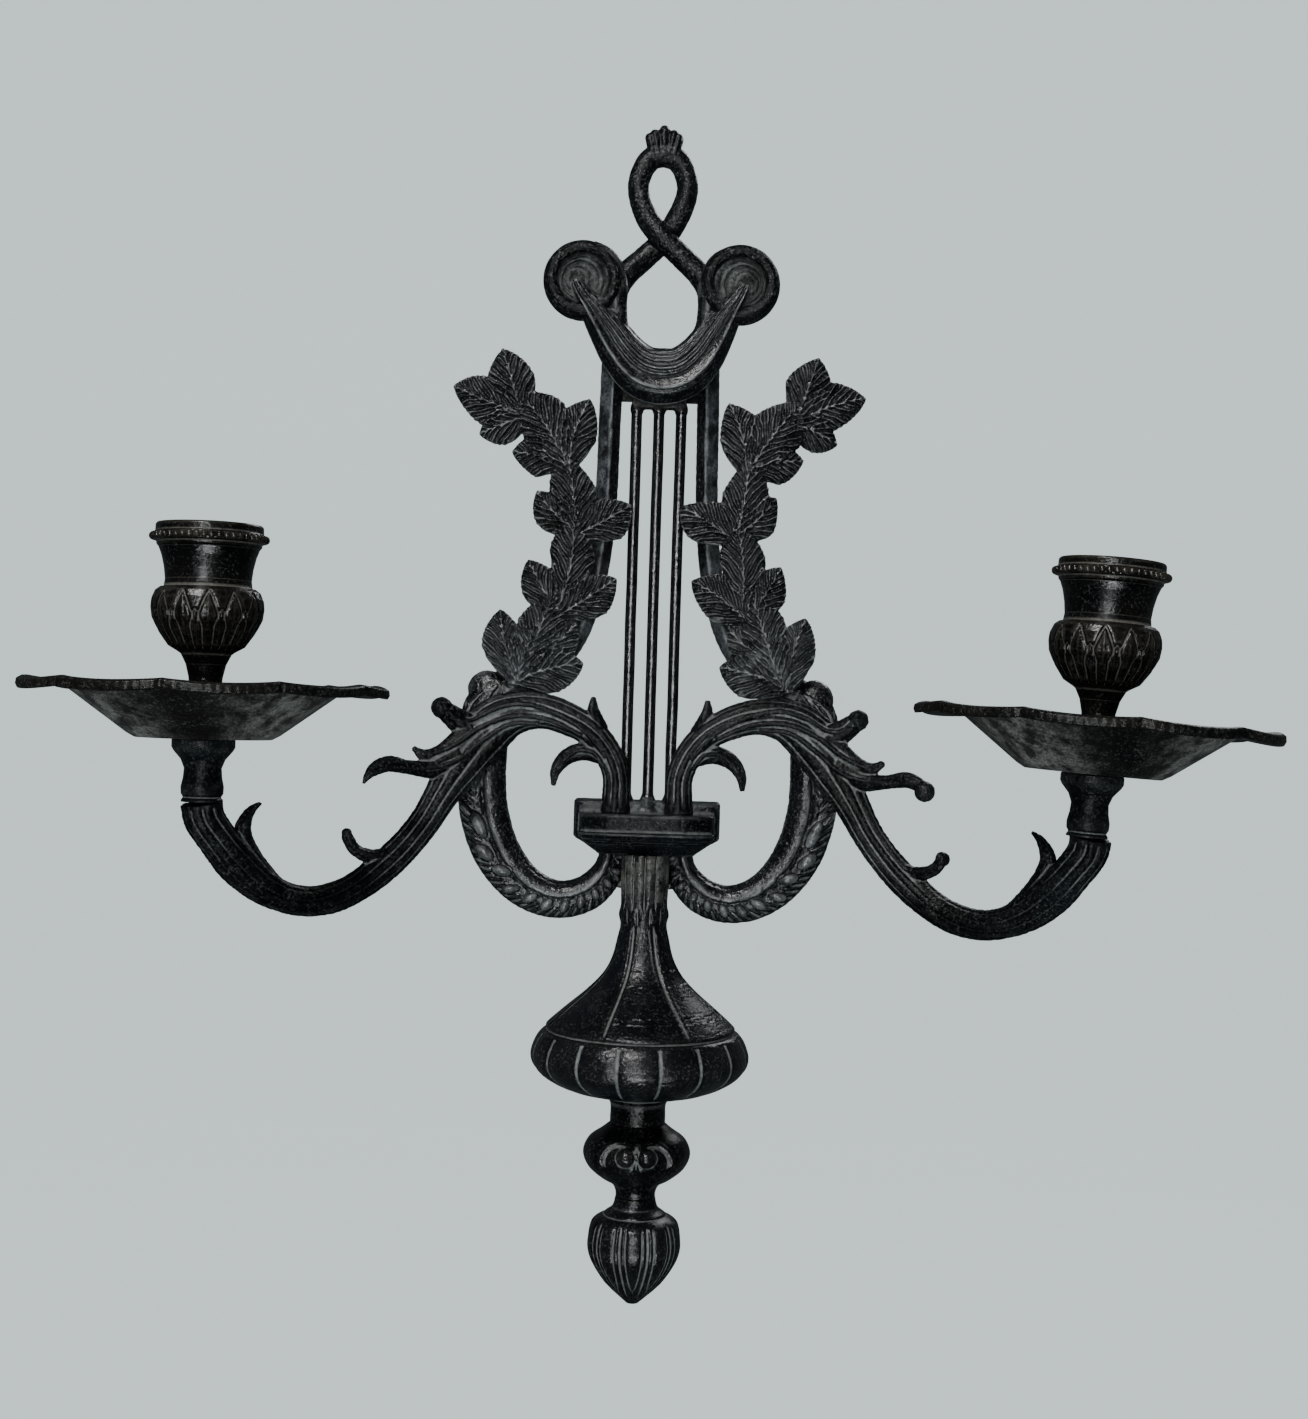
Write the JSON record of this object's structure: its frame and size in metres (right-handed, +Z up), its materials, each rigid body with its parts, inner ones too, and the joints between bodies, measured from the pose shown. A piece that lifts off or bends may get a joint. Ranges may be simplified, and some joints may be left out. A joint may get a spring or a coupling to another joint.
{
  "type": "wall sconce candle holder",
  "caption": "Lyre-shaped cast brass wall sconce in dark patina: swag drape, strings, laurel sprays, turned drop, and scrolled acanthus arms carrying drip pans and urn candle cups.",
  "frame": {"origin": "centre of the hanging hole in the back plate, on the wall plane", "axes": "+X to the viewer's right, +Y into the wall (the front faces -Y), +Z up"},
  "size_m": [0.3745, 0.131, 0.3916],
  "materials": {
    "frame_patina": "cast, dark antique patina with pale dust in the grooves",
    "plate_patina": "cast plate, dark patina, dull",
    "drape_patina": "cast, dark patina, fold ridges rubbed grey",
    "string_patina": "drawn rod, dark patina, satin",
    "block_patina": "cast, dark patina, faces smooth",
    "turned_patina": "turned and chased, dark patina, semi-gloss, pale wax in the lines",
    "arm_patina": "cast, dark patina, grainy",
    "laurel_patina": "cast, dark patina, veins rubbed brown",
    "pan_patina": "spun sheet, dark patina, satin",
    "cup_patina": "turned and chased, dark patina, semi-gloss neck",
    "fixing_steel": "plain steel, dulled"
  },
  "bodies": {
    "sconce_body": {"lyre_frame": "frame_patina", "hanger_plate": "plate_patina", "swag_drape": "drape_patina", "drape_screws": "fixing_steel", "string_left": "string_patina", "string_centre": "string_patina", "string_right": "string_patina", "base_block": "block_patina", "vase_body": "turned_patina", "frame_screw": "fixing_steel", "lower_knop": "turned_patina", "bud_finial": "turned_patina", "tie_rod": "fixing_steel", "left_arm": "arm_patina", "right_arm": "arm_patina", "arm_root_pins": "fixing_steel", "arm_screws": "fixing_steel", "left_laurel": "laurel_patina", "right_laurel": "laurel_patina", "laurel_screws": "fixing_steel", "left_arm_collar": "arm_patina", "right_arm_collar": "arm_patina"},
    "left_pan": {"left_drip_pan": "pan_patina"},
    "right_pan": {"right_drip_pan": "pan_patina"},
    "left_cup": {"left_candle_cup": "cup_patina", "left_cup_stud": "fixing_steel"},
    "right_cup": {"right_candle_cup": "cup_patina", "right_cup_stud": "fixing_steel"}
  },
  "joints": [
    {"name": "left_pan_turn", "type": "hinge", "parent": "sconce_body", "child": "left_pan", "pos_m": [-0.132, -0.076, -0.1227], "axis": [0, 0, 1], "range_deg": [0, 2880]},
    {"name": "left_cup_rise", "type": "slide", "parent": "left_pan", "child": "left_cup", "axis": [0, 0, 1], "range_m": [0, 0.00801]},
    {"name": "right_pan_turn", "type": "hinge", "parent": "sconce_body", "child": "right_pan", "pos_m": [0.132, -0.076, -0.1252], "axis": [0.064, 0, 0.998], "range_deg": [0, 2880]},
    {"name": "right_cup_rise", "type": "slide", "parent": "right_pan", "child": "right_cup", "axis": [0.064, 0, 0.998], "range_m": [0, 0.00801]}
  ],
  "couplings": [
    {"joint": "left_cup_rise", "follows": "left_pan_turn", "m_per_rad": 0.00015915},
    {"joint": "right_cup_rise", "follows": "right_pan_turn", "m_per_rad": 0.00015915}
  ]
}
